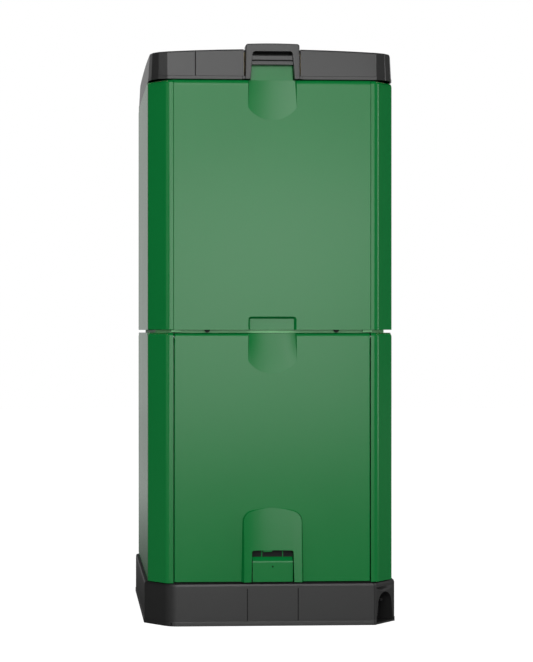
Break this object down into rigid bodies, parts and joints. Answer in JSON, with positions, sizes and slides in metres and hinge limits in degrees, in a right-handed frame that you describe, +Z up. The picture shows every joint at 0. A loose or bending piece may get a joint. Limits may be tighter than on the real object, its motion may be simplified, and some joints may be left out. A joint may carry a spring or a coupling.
{
  "type": "compost bin",
  "caption": "Tall square garden compost bin with insulated green walls in stacked tiers, a hinged latching lid, a clearing door in front and a dark base that drains through a tap.",
  "frame": {"origin": "middle of the underside of the base, on the ground", "axes": "+Z up, the front with the door faces -Y, +X to the right seen from the front"},
  "size_m": [0.52, 0.52, 1.189],
  "materials": {
    "green_plastic": "semi-gloss moulded green polypropylene",
    "grey_plastic": "satin moulded dark grey",
    "charcoal_plastic": "satin moulded charcoal",
    "ring_plastic": "satin moulded pale green",
    "liner_plastic": "matt moulded black",
    "tap_plastic": "glossy black",
    "rubber": "matt black seal",
    "steel": "plain bright steel",
    "foam": "rigid insulating foam"
  },
  "bodies": {
    "bin": {"lower_post_front_right": "green_plastic", "lower_post_rear_right": "green_plastic", "lower_post_rear_left": "green_plastic", "lower_post_front_left": "green_plastic", "lower_post_foam": "foam", "lower_panel_right": "green_plastic", "lower_liner_right": "liner_plastic", "lower_foam_right": "foam", "lower_panel_rear": "green_plastic", "lower_liner_rear": "liner_plastic", "lower_foam_rear": "foam", "lower_panel_left": "green_plastic", "lower_liner_left": "liner_plastic", "lower_foam_left": "foam", "upper_post_front_right": "green_plastic", "upper_post_rear_right": "green_plastic", "upper_post_rear_left": "green_plastic", "upper_post_front_left": "green_plastic", "upper_post_foam": "foam", "upper_panel_front": "green_plastic", "upper_liner_front": "liner_plastic", "upper_foam_front": "foam", "upper_panel_right": "green_plastic", "upper_liner_right": "liner_plastic", "upper_foam_right": "foam", "upper_panel_rear": "green_plastic", "upper_liner_rear": "liner_plastic", "upper_foam_rear": "foam", "upper_panel_left": "green_plastic", "upper_liner_left": "liner_plastic", "upper_foam_left": "foam", "base_tray": "charcoal_plastic", "base_deck": "charcoal_plastic", "leachate_tank": "liner_plastic", "tank_floor": "liner_plastic", "drain_grate": "liner_plastic", "tap_body": "tap_plastic", "tap_nut": "tap_plastic", "tap_washer": "rubber", "core_foot": "liner_plastic", "core_lower": "liner_plastic", "core_upper": "liner_plastic", "core_cap": "liner_plastic", "tier_ring": "ring_plastic", "door_hinge_pins": "steel", "lid_hinge_pins": "steel"},
    "lid": {"lid_shell": "grey_plastic", "lid_latch_housing": "grey_plastic", "lid_liner": "liner_plastic", "lid_foam": "foam", "lid_seal": "rubber", "lid_screws": "steel", "lid_latch_pin": "steel"},
    "lid_latch": {"lid_latch": "grey_plastic"},
    "door": {"door_shell": "green_plastic", "door_liner": "liner_plastic", "door_foam": "foam", "door_seal": "rubber"},
    "door_latch": {"door_latch": "green_plastic"},
    "tap_lever": {"tap_lever": "tap_plastic"}
  },
  "joints": [
    {"name": "lid_hinge", "type": "hinge", "parent": "bin", "child": "lid", "pos_m": [0, 0.2495, 1.124], "axis": [-1, 0, 0], "range_deg": [0, 100]},
    {"name": "lid_latch_hinge", "type": "hinge", "parent": "lid", "child": "lid_latch", "pos_m": [0, -0.2495, 1.1633], "axis": [-1, 0, 0], "range_deg": [0, 25]},
    {"name": "door_hinge", "type": "hinge", "parent": "bin", "child": "door", "pos_m": [0, -0.246, 0.5895], "axis": [-1, 0, 0], "range_deg": [0, 100]},
    {"name": "door_latch_slide", "type": "slide", "parent": "door", "child": "door_latch", "axis": [0, 0, 1], "range_m": [0, 0.01]},
    {"name": "tap_lever_turn", "type": "hinge", "parent": "bin", "child": "tap_lever", "pos_m": [0.21576, -0.21576, 0.044], "axis": [0, 0, 1], "range_deg": [0, 90]}
  ]
}
